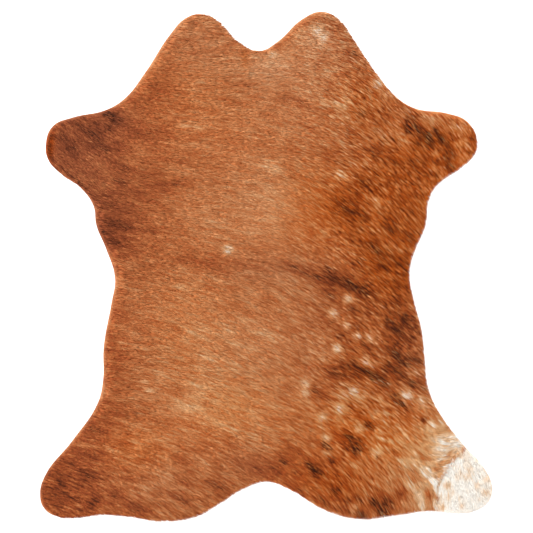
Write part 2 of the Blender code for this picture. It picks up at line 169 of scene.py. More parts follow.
# brindle: short marks along the hair, darker than the coat round them
brindle = [Mark(*row) for row in (
    # right flank
    (137, -29, 50, 13, 0.26), (118, -21, 28, 12, 0.14), (148, -29, 25, 11, 0.12), (113, -8, 21, 11, 0.14),
    (81, -17, 25, 11, 0.12), (174, -43, 21, 18, 0.33), (113, -50, 28, 18, 0.14), (197, -59, 14, 11, 0.09),
    (151, -73, 21, 11, 0.12), (104, -91, 21, 14, 0.07), (130, -121, 18, 11, 0.07), (245, -91, 21, 16, 0.19),
    (259, -105, 21, 14, 0.17), (220, -101, 25, 11, 0.26), (232, -112, 16, 12, 0.28),
    (162, -108, 14, 9, 0.09), (254, -129, 21, 14, 0.12), (183, -145, 18, 9, 0.09),
    (225, -152, 25, 14, 0.21), (241, -165, 32, 14, 0.31), (264, -165, 21, 11, 0.24),
    (143, -175, 28, 12, 0.19), (169, -184, 28, 12, 0.31), (127, -186, 32, 11, 0.17),
    (192, -191, 21, 12, 0.19), (203, -203, 28, 14, 0.26), (227, -186, 25, 12, 0.17),
    (257, -207, 28, 11, 0.24), (278, -212, 14, 9, 0.24), (92, -221, 25, 11, 0.14),
    (106, -233, 21, 11, 0.07), (227, -226, 21, 14, 0.12), (238, -240, 28, 13, 0.30),
    (258, -250, 20, 10, 0.18), (151, -242, 18, 11, 0.09), (86, -214, 14, 18, 0.09), (46, -1, 28, 11, 0.14),
    (63, -13, 18, 9, 0.09), (99, -24, 25, 11, 0.12), (245, -40, 18, 14, 0.14), (231, -138, 18, 11, 0.09),
    (210, -80, 18, 9, 0.08), (192, -98, 21, 9, 0.08), (113, -186, 28, 11, 0.09), (7, -52, 18, 7, 0.09),
    (48, -112, 21, 11, 0.07), (74, -94, 28, 11, 0.09), (81, -108, 21, 9, 0.08), (55, -59, 21, 12, 0.07),
    (42, -214, 21, 11, 0.09), (30, -226, 21, 14, 0.09),
    # rump and right hind leg
    (181, -278, 19, 12, 0.42), (152, -302, 24, 10, 0.42), (164, -312, 22, 11, 0.40),
    (157, -324, 16, 12, 0.42), (139, -311, 21, 14, 0.10), (106, -316, 18, 11, 0.40),
    (116, -341, 14, 10, 0.32), (30, -341, 25, 14, 0.13), (16, -358, 28, 14, 0.10), (55, -364, 18, 11, 0.10),
    (86, -357, 26, 14, 0.46), (122, -394, 18, 14, 0.24), (227, -328, 14, 8, 0.18), (60, -396, 20, 10, 0.18),
    (99, -411, 35, 11, 0.10), (139, -427, 18, 14, 0.20), (148, -413, 14, 8, 0.22), (163, -409, 14, 8, 0.28),
    (198, -335, 9, 8, 0.32), (233, -354, 14, 7, 0.24), (188, -416, 16, 12, 0.30), (202, -420, 22, 14, 0.40),
    (205, -434, 16, 14, 0.40), (217, -415, 22, 10, 0.38), (167, -437, 18, 12, 0.46),
    (236, -401, 14, 11, 0.14), (276, -269, 11, 11, 0.24), (42, -318, 21, 11, 0.08),
    (60, -332, 25, 11, 0.06), (39, -344, 25, 11, 0.08), (169, -253, 18, 9, 0.06), (227, -376, 14, 7, 0.06),
    (183, -358, 21, 7, 0.06), (77, -306, 20, 12, 0.10), (92, -372, 21, 9, 0.08), (130, -376, 21, 7, 0.05),
    (106, -420, 21, 9, 0.08), (257, -358, 18, 7, 0.10), (245, -332, 14, 7, 0.08),
    # right shoulder and foreleg
    (250, 244, 16, 14, 0.34), (255, 263, 14, 11, 0.22), (271, 239, 32, 12, 0.30), (284, 228, 28, 13, 0.36),
    (298, 232, 21, 16, 0.28), (310, 223, 21, 11, 0.28), (328, 228, 18, 7, 0.20), (324, 205, 25, 12, 0.27),
    (319, 188, 18, 11, 0.22), (304, 182, 14, 9, 0.14), (324, 173, 16, 14, 0.26), (255, 182, 21, 16, 0.10),
    (289, 191, 18, 9, 0.10), (280, 179, 14, 16, 0.08), (271, 216, 14, 11, 0.10), (289, 161, 25, 11, 0.08),
    (227, 188, 21, 11, 0.08), (241, 152, 21, 9, 0.06), (188, 199, 25, 11, 0.14), (218, 188, 28, 9, 0.07),
    (169, 147, 21, 12, 0.18), (162, 121, 14, 14, 0.08), (123, 112, 32, 11, 0.10), (151, 98, 28, 14, 0.09),
    (171, 92, 18, 9, 0.10), (143, 92, 18, 11, 0.08), (243, 117, 18, 11, 0.08), (222, 66, 24, 14, 0.18),
    (250, 54, 25, 14, 0.14), (218, 82, 25, 11, 0.08), (185, 38, 21, 14, 0.13), (197, 26, 21, 16, 0.14),
    (162, 41, 14, 9, 0.06), (201, 3, 25, 14, 0.10), (232, 8, 21, 11, 0.06), (113, 196, 21, 14, 0.10),
    (123, 182, 14, 9, 0.10), (69, 108, 18, 11, 0.07), (49, 124, 21, 7, 0.05), (114, 96, 14, 11, 0.08),
    (171, 267, 21, 14, 0.16), (185, 279, 14, 14, 0.10), (148, 235, 25, 14, 0.12), (227, 279, 18, 12, 0.09),
    (215, 269, 18, 9, 0.06), (262, 108, 18, 9, 0.06), (210, 156, 21, 9, 0.05),
    # ears and neck
    (-129, 427, 25, 11, 0.10), (-95, 409, 28, 9, 0.05), (-169, 388, 32, 12, 0.04),
    (-201, 318, 28, 11, 0.10), (-51, 334, 28, 9, 0.08), (-35, 320, 25, 11, 0.13), (-46, 286, 30, 18, 0.05),
    (-14, 298, 14, 7, 0.08), (9, 269, 14, 7, 0.08), (33, 297, 28, 11, 0.06), (-151, 260, 25, 9, 0.07),
    (-178, 239, 35, 12, 0.10), (-222, 233, 60, 18, 0.10), (77, 438, 28, 9, 0.05), (104, 372, 21, 11, 0.08),
    (151, 376, 25, 14, 0.14), (130, 372, 18, 9, 0.06), (92, 350, 18, 14, 0.10), (169, 346, 18, 18, 0.12),
    (160, 325, 21, 12, 0.08), (180, 318, 21, 16, 0.12), (113, 314, 18, 14, 0.07), (60, 291, 35, 9, 0.12),
    (25, 293, 25, 7, 0.06), (162, 290, 18, 9, 0.06), (-107, 381, 21, 9, 0.04), (-72, 385, 18, 7, 0.04),
    # left foreleg and shoulder
    (-277, 268, 23, 9, 0.34), (-262, 257, 18, 12, 0.22), (-349, 165, 23, 5, 0.16), (-335, 152, 23, 5, 0.16),
    (-321, 140, 18, 5, 0.12), (-276, 239, 12, 12, 0.18), (-303, 232, 32, 11, 0.14),
    (-287, 210, 21, 12, 0.18), (-356, 228, 16, 16, 0.09), (-336, 205, 32, 12, 0.08),
    (-251, 174, 28, 9, 0.16), (-255, 149, 18, 11, 0.15), (-271, 166, 11, 7, 0.07), (-275, 108, 28, 9, 0.08),
    (-254, 99, 28, 7, 0.06), (-266, 77, 39, 12, 0.12), (-248, 70, 25, 11, 0.11), (-284, 61, 21, 9, 0.08),
    (-208, 64, 28, 9, 0.13), (-264, 41, 49, 14, 0.08), (-222, 131, 21, 7, 0.08), (-178, 130, 22, 9, 0.13),
    (-181, 188, 21, 9, 0.06), (-142, 149, 30, 7, 0.12), (-183, 144, 22, 7, 0.12), (-160, 145, 16, 6, 0.11),
    (-144, 184, 25, 11, 0.08), (-106, 168, 18, 9, 0.06), (-90, 151, 63, 9, 0.05), (-331, 249, 25, 9, 0.07),
    (-317, 221, 18, 11, 0.06), (-313, 179, 25, 7, 0.06),
    # back
    (-37, 219, 60, 11, 0.04), (39, 175, 14, 9, 0.08), (-19, 29, 46, 16, 0.05), (-116, 6, 70, 14, 0.05),
    (-77, -10, 32, 11, 0.06), (33, 43, 32, 14, 0.04), (-46, 4, 28, 9, 0.04), (-146, 8, 35, 9, 0.04),
    (83, 205, 18, 7, 0.05),
    # left flank, buttock and hind leg
    (-250, -68, 12, 7, 0.06), (-257, -85, 21, 12, 0.06), (-269, -126, 14, 7, 0.08),
    (-239, -161, 28, 7, 0.06), (-211, -172, 28, 7, 0.09), (-215, -121, 14, 7, 0.07),
    (-173, -107, 35, 11, 0.05), (-41, -114, 14, 9, 0.10), (-46, -73, 28, 9, 0.06), (-92, -84, 21, 9, 0.05),
    (-28, -82, 18, 9, 0.05), (-158, -214, 14, 11, 0.06), (-151, -226, 32, 9, 0.05),
    (-104, -240, 18, 9, 0.11), (-257, -223, 32, 9, 0.05), (-225, -256, 25, 9, 0.10),
    (-250, -260, 25, 7, 0.08), (-284, -239, 25, 12, 0.07), (-298, -288, 32, 14, 0.10),
    (-331, -327, 21, 9, 0.08), (-305, -332, 25, 9, 0.09), (-310, -369, 25, 14, 0.12),
    (-372, -404, 35, 9, 0.10), (-363, -367, 21, 11, 0.06), (-266, -402, 21, 14, 0.15),
    (-227, -425, 28, 16, 0.14), (-218, -372, 18, 9, 0.09), (-146, -411, 32, 11, 0.11),
    (-239, -376, 28, 7, 0.06), (-181, -284, 18, 9, 0.05), (-139, -341, 21, 9, 0.08),
    (-63, -314, 25, 11, 0.09), (-60, -344, 25, 9, 0.05), (-14, -358, 28, 12, 0.10),
    (-81, -388, 32, 16, 0.20), (-102, -379, 32, 7, 0.08), (-37, -186, 18, 14, 0.05),
    (46, -244, 32, 9, 0.05), (-160, -406, 25, 9, 0.06),
)]

# lighter tufts among the brown
lightTufts = [Mark(*row) for row in (
    (-137, 246, 28, 12, 0.10), (-111, 244, 25, 14, 0.08), (-51, 240, 21, 11, 0.05), (28, 240, 25, 14, 0.06),
    (109, 343, 25, 12, 0.07), (92, 320, 32, 9, 0.08), (137, 288, 14, 21, 0.16), (122, 276, 21, 7, 0.08),
    (99, 288, 21, 7, 0.07), (206, 227, 21, 16, 0.14), (60, 244, 25, 11, 0.05), (-275, 221, 14, 21, 0.08),
    (-220, 200, 14, 11, 0.08), (-125, 214, 21, 14, 0.05), (134, 161, 21, 16, 0.16), (116, 144, 12, 9, 0.08),
    (194, 117, 28, 14, 0.11), (218, 131, 14, 14, 0.07), (280, 142, 14, 12, 0.06), (238, 170, 26, 12, 0.13),
    (-320, 222, 16, 16, 0.09), (151, 29, 28, 14, 0.08), (197, -17, 21, 11, 0.11), (232, 33, 21, 12, 0.07),
    (299, 205, 14, 16, 0.11), (245, 219, 25, 12, 0.05), (210, 223, 14, 12, 0.07), (333, 249, 18, 14, 0.12),
    (359, 209, 12, 16, 0.15), (335, 214, 12, 12, 0.14), (289, 173, 12, 11, 0.10), (257, -184, 21, 14, 0.13),
    (7, 179, 35, 25, 0.08), (19, 170, 18, 9, 0.06), (2, 122, 28, 9, 0.08), (-150, -36, 16, 9, 0.11),
    (-146, -15, 21, 12, 0.06), (-97, -66, 18, 7, 0.07), (-41, -92, 21, 9, 0.09), (-72, -112, 25, 11, 0.06),
    (-129, -114, 25, 12, 0.05), (-104, -161, 28, 11, 0.09), (-185, -165, 28, 7, 0.08),
    (-213, -202, 9, 7, 0.14), (-206, -216, 16, 7, 0.11), (-139, -247, 42, 12, 0.08),
    (-60, -246, 25, 9, 0.09), (-9, -114, 18, 11, 0.13), (16, -126, 25, 12, 0.08), (77, -147, 21, 18, 0.06),
    (42, -34, 39, 14, 0.07), (-11, -274, 25, 12, 0.08), (-56, -286, 28, 13, 0.16),
    (-23, -298, 18, 11, 0.11), (-111, -341, 16, 14, 0.08), (-109, -369, 16, 9, 0.12),
    (-173, -369, 18, 16, 0.10), (-183, -387, 21, 7, 0.07), (-213, -399, 21, 11, 0.07),
    (-269, -286, 14, 11, 0.08), (-271, -327, 42, 14, 0.06), (-2, -320, 32, 9, 0.07),
    (-187, -432, 21, 11, 0.07), (-195, -353, 18, 9, 0.05), (206, -323, 14, 9, 0.10),
    (210, -298, 25, 14, 0.07), (236, -306, 25, 14, 0.08), (215, -360, 25, 12, 0.10),
    (262, -332, 18, 11, 0.08), (238, -337, 18, 14, 0.08), (262, -402, 14, 21, 0.08),
    (254, -383, 16, 14, 0.14), (239, -15, 18, 11, 0.06),
)]

# flecks: small tufts where part of the hair is white
whiteFlecks = [Fleck(*row) for row in (
    (-67, 29, 22, 0.76), (144, -57, 24, 0.88), (118, -83, 22, 0.90), (142, -103, 19, 0.76),
    (161, -123, 21, 0.72), (182, -125, 20, 0.80), (126, -144, 23, 0.72), (175, -166, 24, 0.84),
    (189, -172, 20, 0.68), (69, -206, 22, 0.70), (69, -222, 20, 0.60), (154, -220, 23, 0.98),
    (137, -226, 20, 0.58), (247, -226, 25, 0.88), (273, -239, 25, 0.40), (130, -251, 23, 0.80),
    (99, -266, 22, 0.76), (163, -283, 22, 0.72), (106, -302, 23, 0.60), (108, -328, 22, 0.58),
    (193, -327, 22, 0.70), (155, -424, 20, 0.62), (91, 413, 23, 0.56), (103, 403, 21, 0.54),
    (81, 420, 16, 0.30), (12, 374, 18, 0.54), (196, 320, 23, 0.62), (294, 254, 25, 0.30),
    (137, 288, 16, 0.25), (134, 161, 23, 0.26), (194, 117, 16, 0.20), (257, -184, 16, 0.15),
)]

# strokes that pull the hair of the right thigh, and of the white shank past the crest, to a tone
thighStrokes = [Stroke(*row) for row in (
    (296, -337, 95, 127, 0, 0.66, 0.85), (257, -372, 32, 32, 0, 0.53, 0.85),
    (241, -348, 25, 21, 0, 0.67, 0.80), (271, -334, 19, 14, -40, 0.48, 0.70),
    (238, -399, 21, 25, -50, 0.36, 0.80), (232, -327, 16, 16, -40, 0.44, 0.60),
    (277, -270, 12, 7, -50, 0.34, 0.90), (291, -281, 19, 21, -40, 0.82, 0.90),
    (308, -284, 21, 16, -50, 0.72, 0.80), (271, -314, 28, 25, -30, 0.63, 0.60),
    (299, -304, 25, 16, 0, 0.82, 0.90), (322, -307, 44, 28, -5, 0.88, 1.00),
    (333, -306, 18, 23, -40, 0.90, 1.00), (308, -321, 39, 16, -8, 0.85, 0.95),
    (343, -313, 16, 16, -40, 0.94, 0.95), (336, -321, 16, 16, 50, 0.90, 0.90),
    (329, -327, 12, 12, 50, 0.80, 0.90), (306, -335, 35, 23, -5, 0.83, 0.90),
    (291, -343, 18, 23, -50, 0.75, 0.80), (310, -351, 30, 14, 58, 0.72, 0.90),
    (268, -351, 21, 16, -35, 0.76, 0.80), (322, -330, 14, 5, 48, 0.56, 0.90),
    (308, -347, 16, 7, 25, 0.60, 0.85), (301, -357, 18, 9, 20, 0.60, 0.90),
    (285, -337, 14, 7, -30, 0.58, 0.70), (295, -365, 16, 9, 20, 0.76, 0.85),
    (282, -362, 25, 21, -35, 0.85, 0.95), (294, -378, 21, 12, -45, 0.97, 0.95),
    (299, -392, 21, 9, -70, 0.95, 0.95), (284, -387, 19, 16, -45, 0.68, 0.90),
    (268, -395, 21, 37, -10, 0.74, 0.90), (250, -407, 16, 21, -50, 0.50, 0.85),
    (273, -415, 14, 26, 0, 0.82, 0.85), (287, -404, 25, 14, -70, 0.56, 0.95),
    (287, -404, 14, 5, -70, 0.44, 0.80), (285, -422, 12, 12, -70, 0.60, 0.95),
    (276, -424, 9, 14, 0, 0.86, 0.80), (298, -418, 21, 9, -80, 0.88, 0.90),
    (259, -422, 14, 12, 0, 0.64, 0.70),
)]
shankStrokes = [Stroke(*row) for row in (
    (336, -325, 28, 21, -60, 0.79, 0.85), (329, -334, 12, 10, 0, 0.86, 0.85),
    (352, -332, 25, 18, -60, 0.91, 0.70), (354, -350, 21, 18, -60, 0.90, 0.60),
    (306, -415, 32, 11, -90, 0.86, 0.80), (305, -381, 14, 5, 60, 0.78, 0.90),
    (301, -394, 14, 5, 85, 0.74, 0.80), (319, -411, 25, 14, -85, 0.93, 0.50),
)]

# ticks: tan spots on the white shank
tanTicks = [Fleck(*row) for row in (
    (319, -385, 12, 0.90), (312, -424, 9, 0.60), (357, -367, 11, 0.60), (352, -374, 9, 0.50),
    (372, -385, 12, 0.60), (386, -399, 14, 0.70), (389, -374, 11, 0.60), (345, -420, 11, 0.50),
    (342, -408, 9, 0.35), (319, -406, 9, 0.40), (373, -339, 9, 0.60), (336, -372, 9, 0.35),
    (343, -364, 11, 0.35), (361, -357, 9, 0.30), (328, -397, 11, 0.30), (375, -411, 7, 0.25),
    (384, -358, 9, 0.30), (333, -353, 9, 0.25), (356, -395, 7, 0.20),
)]


def smooth(value, start, end):
    share = np.clip((value - start) / (end - start), 0.0, 1.0)
    return share * share * (3.0 - 2.0 * share)


def resample(points, step):
    closed = np.vstack([points, points[:1]])
    runs = np.hypot(*np.diff(closed, axis=0).T)
    gone = np.concatenate([[0.0], np.cumsum(runs)])
    count = int(round(gone[-1] / step))
    at = np.arange(count) * gone[-1] / count
    return np.column_stack([np.interp(at, gone, closed[:, 0]), np.interp(at, gone, closed[:, 1])])


def signedArea(points):
    x, y = points.T
    return 0.5 * float(np.sum(x * np.roll(y, -1) - y * np.roll(x, -1)))


def placeObject(name, data):
    made = bpy.data.objects.new(name, data)
    bpy.context.scene.collection.objects.link(made)
    return made


# keeps a number or a vector for each point of a mesh, under this name
def keepOnPoints(mesh, name, values):
    values = np.asarray(values, np.float32)
    kind, slot = ("FLOAT", "value") if values.ndim == 1 else ("FLOAT_VECTOR", "vector")
    mesh.attributes.new(name, kind, "POINT").data.foreach_set(slot, values.ravel())


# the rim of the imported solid's flat underside, walked round once against the clock
def cutEdge():
    bm = bmesh.new()
    bm.from_mesh(frame["nodes"]["cowhide"].data)
    bmesh.ops.remove_doubles(bm, verts=bm.verts, dist=1e-6)
    links = {}
    for edge in bm.edges:
        down = [face.normal.z < -0.9 for face in edge.link_faces]
        if down.count(True) == 1:
            first, second = edge.verts
            links.setdefault(first, []).append(second)
            links.setdefault(second, []).append(first)
    start = next(iter(links))
    loop = [start]
    before, here = None, start
    while True:
        step = [vert for vert in links[here] if vert is not before][0]
        if step is start:
            break
        loop.append(step)
        before, here = here, step
    points = np.array([(vert.co.x, vert.co.y) for vert in loop])
    bm.free()
    return points if signedArea(points) > 0.0 else points[::-1]


edgePoints = resample(cutEdge(), mm)
print("cut edge read:", len(edgePoints), "mm round")

# what changes over the hide is kept on maps of small squares, a little wider than the hide
mapPitch, mapMargin = 0.001, 0.02
mapLow, mapHigh = edgePoints.min(axis=0) - mapMargin, edgePoints.max(axis=0) + mapMargin
mapX, mapY = np.meshgrid(*(np.arange(low, high, mapPitch) for low, high in zip(mapLow, mapHigh)))


def readMap(field, x, y):
    column = np.clip((x - mapLow[0]) / mapPitch, 0.0, field.shape[1] - 1.001)
    row = np.clip((y - mapLow[1]) / mapPitch, 0.0, field.shape[0] - 1.001)
    c, r = column.astype(int), row.astype(int)
    u, v = column - c, row - r
    below = field[r, c] * (1.0 - u) + field[r, c + 1] * u
    above = field[r + 1, c] * (1.0 - u) + field[r + 1, c + 1] * u
    return below * (1.0 - v) + above * v


def soften(field, width):
    fy = np.fft.fftfreq(field.shape[0], mapPitch)[:, None]
    fx = np.fft.rfftfreq(field.shape[1], mapPitch)[None, :]
    soft = np.fft.rfft2(field) * np.exp(-2.0 * (math.pi * width) ** 2 * (fx ** 2 + fy ** 2))
    return np.fft.irfft2(soft, field.shape)


# soft unevenness of chance, this wide
def softChance(width):
    return soften(dice.standard_normal(mapX.shape), width)


# how far inside the cut edge each place is, in metres
def edgeMap():
    tree = kdtree.KDTree(len(edgePoints))
    for index, point in enumerate(edgePoints):
        tree.insert((point[0], point[1], 0.0), index)
    tree.balance()
    away = np.array([tree.find((x, y, 0.0))[2] for x, y in zip(mapX.ravel(), mapY.ravel())])
    away = away.reshape(mapX.shape)
    first, second = edgePoints, np.roll(edgePoints, -1, axis=0)
    for row, y in enumerate(mapY[:, 0]):
        crosses = (first[:, 1] <= y) != (second[:, 1] <= y)
        a, b = first[crosses], second[crosses]
        at = np.sort(a[:, 0] + (y - a[:, 1]) / (b[:, 1] - a[:, 1]) * (b[:, 0] - a[:, 0]))
        outside = np.searchsorted(at, mapX[row]) % 2 == 0
        away[row, outside] *= -1.0
    return away


# distance from the crest, positive on the shank
def crestMap():
    best = np.full(mapX.shape, np.inf)
    line = np.array(crestLine) * mm
    for start, end in zip(line, line[1:]):
        run = end - start
        along = np.clip(((mapX - start[0]) * run[0] + (mapY - start[1]) * run[1]) / run.dot(run), 0.0, 1.0)
        dx, dy = mapX - start[0] - along * run[0], mapY - start[1] - along * run[1]
        side = np.where(run[0] * dy - run[1] * dx > 0.0, 1.0, -1.0)
        near = np.hypot(dx, dy)
        best = np.where(near < np.abs(best), side * near, best)
    return best


combing = {
    "reach": 0.036, "thighReach": 0.010, "shankReach": 0.016,      # how far one stroke of the comb is felt
    "faint": 1e-9,                                                 # and how little beyond that
    "thighStart": 0.15, "thighFull": 0.8,                          # nearness of the thigh's strokes
    "legInner": 0.15, "legTop": -0.15, "crestSoftness": 0.0012,
    "smearSteps": 8,
}

inside = edgeMap()
fromCrest = crestMap()
onLeg = (mapX > combing["legInner"]) & (mapY < combing["legTop"])
shank = np.where(onLeg, smooth(fromCrest, -combing["crestSoftness"], combing["crestSoftness"]), 0.0)


def combed(strokes, reach):
    x, y, weight = (np.zeros(mapX.shape) for _ in range(3))
    for stroke in strokes:
        near = np.exp(-((mapX - stroke.x * mm) ** 2 + (mapY - stroke.y * mm) ** 2) / (2.0 * reach ** 2))
        near += combing["faint"]
        x += near * math.cos(math.radians(stroke.angle))
        y += near * math.sin(math.radians(stroke.angle))
        weight += near
    size = np.hypot(x, y)
    return x / size, y / size, weight


bodyX, bodyY, _ = combed(bodyCombs, combing["reach"])
thighX, thighY, thighNear = combed(thighCombs, combing["thighReach"])
shankX, shankY, _ = combed(shankCombs, combing["shankReach"])
byThigh = smooth(thighNear, combing["thighStart"], combing["thighFull"])
lieX = (bodyX * (1.0 - byThigh) + thighX * byThigh) * (1.0 - shank) + shankX * shank
lieY = (bodyY * (1.0 - byThigh) + thighY * byThigh) * (1.0 - shank) + shankY * shank
lieX, lieY = lieX / np.hypot(lieX, lieY), lieY / np.hypot(lieX, lieY)
print("combed:", len(bodyCombs) + len(thighCombs) + len(shankCombs), "strokes")


# smears a field both ways along the hair
def drawAlong(field, reach):
    steps = combing["smearSteps"]
    total = field.copy()
    for way in (-1.0, 1.0):
        x, y = mapX.copy(), mapY.copy()
        for _ in range(steps):
            dx, dy = readMap(lieX, x, y), readMap(lieY, x, y)
            x += way * reach / steps * dx
            y += way * reach / steps * dy
            total += readMap(field, x, y)
    return total / (2 * steps + 1)


# streaks of chance along the hair, of this width and reach, with a spread of one
def streaks(width, reach):
    field = drawAlong(softChance(width), reach)
    return field / field[inside > 0.0].std()


colouring = {
    "tone": 0.478, "rust": 0.42, "mostRust": 1.3, "whiteTone": 0.985,
    # chance streaks, wide, middle and fine: their width, and their reach where the hair is calm
    "streaks": ((0.0040, 0.030), (0.0015, 0.012), (0.00045, 0.008)),
    "wideStreaks": 0.012, "middleStreaks": 0.022, "fineStreaks": 0.043, "fineLively": 0.037, "fineLow": 0.28,
    "livelyLow": 0.30, "livelyLeft": 0.25, "livelyShorter": 0.42, "livelyMiddle": 0.4,
    "thighMiddle": 0.6, "thighFine": 0.5, "thighChange": 0.65,
    "rumpFine": 0.30, "rumpChange": 0.55, "lowChange": 0.60,
    "hairChange": 0.12, "hairLively": 0.30,      # how far single locks stray from the tone round them
    "raggedMiddle": 0.3, "raggedFine": 0.9,
    # what frays the marks: how much, and the least and the most it comes to
    "darkFray": (0.7, 0.25, 3.0), "lightFray": (0.4, 0.0, 2.0), "strokeFray": (0.22, 0.3, 3.0),
    "tickFray": (0.25, 0.3, 2.0), "fleckFray": 0.20,
    "darkDepth": 1.04, "lightDepth": 0.9, "markFall": 0.7,
    "strokeRim": (0.22, 0.55), "fleckRim": (1.25, 0.25),
    "tickDepth": 0.20, "tickFall": 0.8, "whiteGrain": 0.06, "creamGrain": 0.5,
}

# where the coat changes on its way across or down the hide: where that starts and where it is full
zones = {
    "livelyRight": (0.0, 0.18), "livelyLow": (0.22, 0.40), "livelyLeft": (0.22, 0.32),
    "fineLow": (0.06, 0.20), "lowChange": (0.20, 0.32), "rumpSide": (0.19, 0.24), "rumpLow": (0.28, 0.33),
}


def zone(name, field):
    return smooth(field, *zones[name])


def less(name, where):
    return 1.0 - colouring[name] * where


def frayed(name, chance):
    share, least, most = colouring[name]
    return np.clip(1.0 + share * chance, least, most)


# squared distance from the middle of a spot, 1 at the rim of its oval
def fromSpot(x, y, halfLong, halfWide, turn=0.0):
    dx, dy = mapX - x * mm, mapY - y * mm
    along = (dx * math.cos(turn) + dy * math.sin(turn)) / (halfLong * mm)
    across = (dy * math.cos(turn) - dx * math.sin(turn)) / (halfWide * mm)
    return along ** 2 + across ** 2


# soft ovals that lie the way the hair does, added up
def alongHair(marks):
    total = np.zeros(mapX.shape)
    for mark in marks:
        x, y = np.array(mark.x * mm), np.array(mark.y * mm)
        lie = math.atan2(readMap(lieY, x, y), readMap(lieX, x, y))
        away = fromSpot(mark.x, mark.y, 0.5 * mark.long, 0.5 * mark.wide, lie)
        total += mark.depth * np.exp(-colouring["markFall"] * away)
    return total


# a field pulled to each stroke's tone, inside ovals with frayed rims
def pulled(field, strokes, ragged):
    fray = frayed("strokeFray", ragged)
    for stroke in strokes:
        away = fromSpot(stroke.x, stroke.y, 0.5 * stroke.long, 0.5 * stroke.wide, math.radians(stroke.turn))
        here = stroke.share * smooth(np.exp(-away * fray), *colouring["strokeRim"])
        field = field + here * (stroke.tone - field)
    return field


def colourMaps():
    look = colouring
    tone, rust, white = (np.full(mapX.shape, look[name]) for name in ("tone", "rust", "whiteTone"))
    for area in coatAreas:
        here = np.exp(-0.5 * fromSpot(area.x, area.y, area.long, area.wide, math.radians(area.turn)))
        tone += here * area.tone
        rust += here * area.rust

    # the hair is calm on the left and broken up on the right and towards the hind legs
    lively = zone("livelyRight", mapX) + look["livelyLow"] * zone("livelyLow", -mapY)
    lively = np.clip(lively + look["livelyLeft"] * zone("livelyLeft", -mapX), 0.0, 1.0)
    shorter = less("livelyShorter", lively)
    wide, middle, fine = [streaks(width, reach * shorter) for width, reach in look["streaks"]]
    ragged = look["raggedMiddle"] * middle + look["raggedFine"] * fine

    tone, white = pulled(tone, thighStrokes, ragged), pulled(white, shankStrokes, ragged)
    dark = look["darkDepth"] * alongHair(brindle) * frayed("darkFray", ragged)
    tone += look["lightDepth"] * alongHair(lightTufts) * frayed("lightFray", ragged)

    # less streaky on the thigh and where the outer rump turns to cream
    outerRump = zone("rumpSide", mapX) * zone("rumpLow", -mapY) * (1.0 - byThigh)
    grain = look["wideStreaks"] * wide
    grain += look["middleStreaks"] * middle * less("thighMiddle", byThigh) * less("livelyMiddle", lively)
    fineHere = look["fineStreaks"] + look["fineLively"] * lively
    fineHere *= 1.0 + look["fineLow"] * zone("fineLow", -mapY)
    grain += fineHere * fine * less("thighFine", byThigh) * less("rumpFine", outerRump)

    pale = np.zeros(mapX.shape)
    for fleck in whiteFlecks:
        away = np.sqrt(fromSpot(fleck.x, fleck.y, 0.5 * fleck.size, 0.5 * fleck.size))
        pale = np.maximum(pale, fleck.share * smooth(away + look["fleckFray"] * ragged, *look["fleckRim"]))
    for tick in tanTicks:
        away = fromSpot(tick.x, tick.y, 0.5 * tick.size, 0.5 * tick.size)
        white -= look["tickDepth"] * tick.share * np.exp(-look["tickFall"] * away * frayed("tickFray", fine))

    tone += grain
    white += grain * (look["whiteGrain"] + look["creamGrain"] * (look["whiteTone"] - white))
    change = (look["hairChange"] + look["hairLively"] * lively) * less("thighChange", byThigh)
    change *= less("lowChange", zone("lowChange", -mapY)) * less("rumpChange", outerRump)
    return tone, dark, np.clip(rust, 0.0, look["mostRust"]), pale, np.clip(white, 0.0, 1.0), change


toneMap, darkMap, rustMap, paleMap, whiteMap, changeMap = colourMaps()
print("coloured:", len(coatAreas), "areas,", len(brindle), "dark marks,", len(whiteFlecks), "flecks")

coat = {
    "backDepth": 0.0040, "legDepth": 0.0028, "shankDepth": 0.0020,      # over the leather, as packed
    "legStart": 0.26, "legEnd": 0.38, "shankBlend": 0.008,
    "crestHeight": 0.0010, "crestWidth": 0.006, "crestWander": 0.0028, "crestFray": 0.0032,
    "swellHeight": 0.0004, "swellLength": 0.035,
    "lengthPerDepth": 4.4, "lengthChange": 0.18, "shortest": 0.005, "trim": 0.92, "trimSteps": 15,
    "kneeAt": 0.42, "ridgeAt": 0.45, "kneeShows": 0.55, "tipShows": 0.80,      # along a lock
    "width": 0.0011, "thickness": 0.0009, "shortWidth": 0.55, "fullWidthLength": 0.012,
    "rootPitch": 0.00155, "rootInset": 0.0003, "rootDepth": 0.0001, "crowding": 1.25,
    "roll": 0.009, "flattest": 0.08, "leastLift": 0.02, "mostLift": 0.6,      # coming down to the edge
    "liftChange": 3.0, "stray": 3.2, "roughStray": 1.1, "tilt": 0.5,
    "overhang": 0.0038, "inset": 0.0004, "insetSoftness": 0.003,      # past the leather
    "tipSpare": (-0.0006, 0.0012),                                    # past the edge
    "unevenWidth": 0.005, "wanderWidth": 0.002,
    "markSpread": 3.0, "paleCalm": 0.75, "paleTones": (0.65, 0.90), "stir": 5.17,
    # how far in from the edge it starts and is full: pale root ends, painted shade on the hair behind them,
    # painted shade along the white's rim
    "startEdge": (0.0045, 0.0015), "rim": (0.013, 0.003), "whiteRim": (0.0028, 0.0008),
    "rootPale": 0.32, "rimPaintedShade": 0.17, "whiteRimPaintedShade": 0.10,
    "seed": 12,
}


def depthMap():
    leg = smooth(np.abs(mapX), coat["legStart"], coat["legEnd"])
    depth = coat["backDepth"] + (coat["legDepth"] - coat["backDepth"]) * leg
    blend = np.where(onLeg, smooth(fromCrest, -coat["shankBlend"], coat["shankBlend"]), 0.0)
    depth += (coat["shankDepth"] - depth) * blend
    ridge = np.where(onLeg, np.exp(-((fromCrest / coat["crestWidth"]) ** 2)), 0.0)
    swell = softChance(coat["swellLength"])
    swell *= coat["swellHeight"] / swell.std()
    return depth + swell, ridge


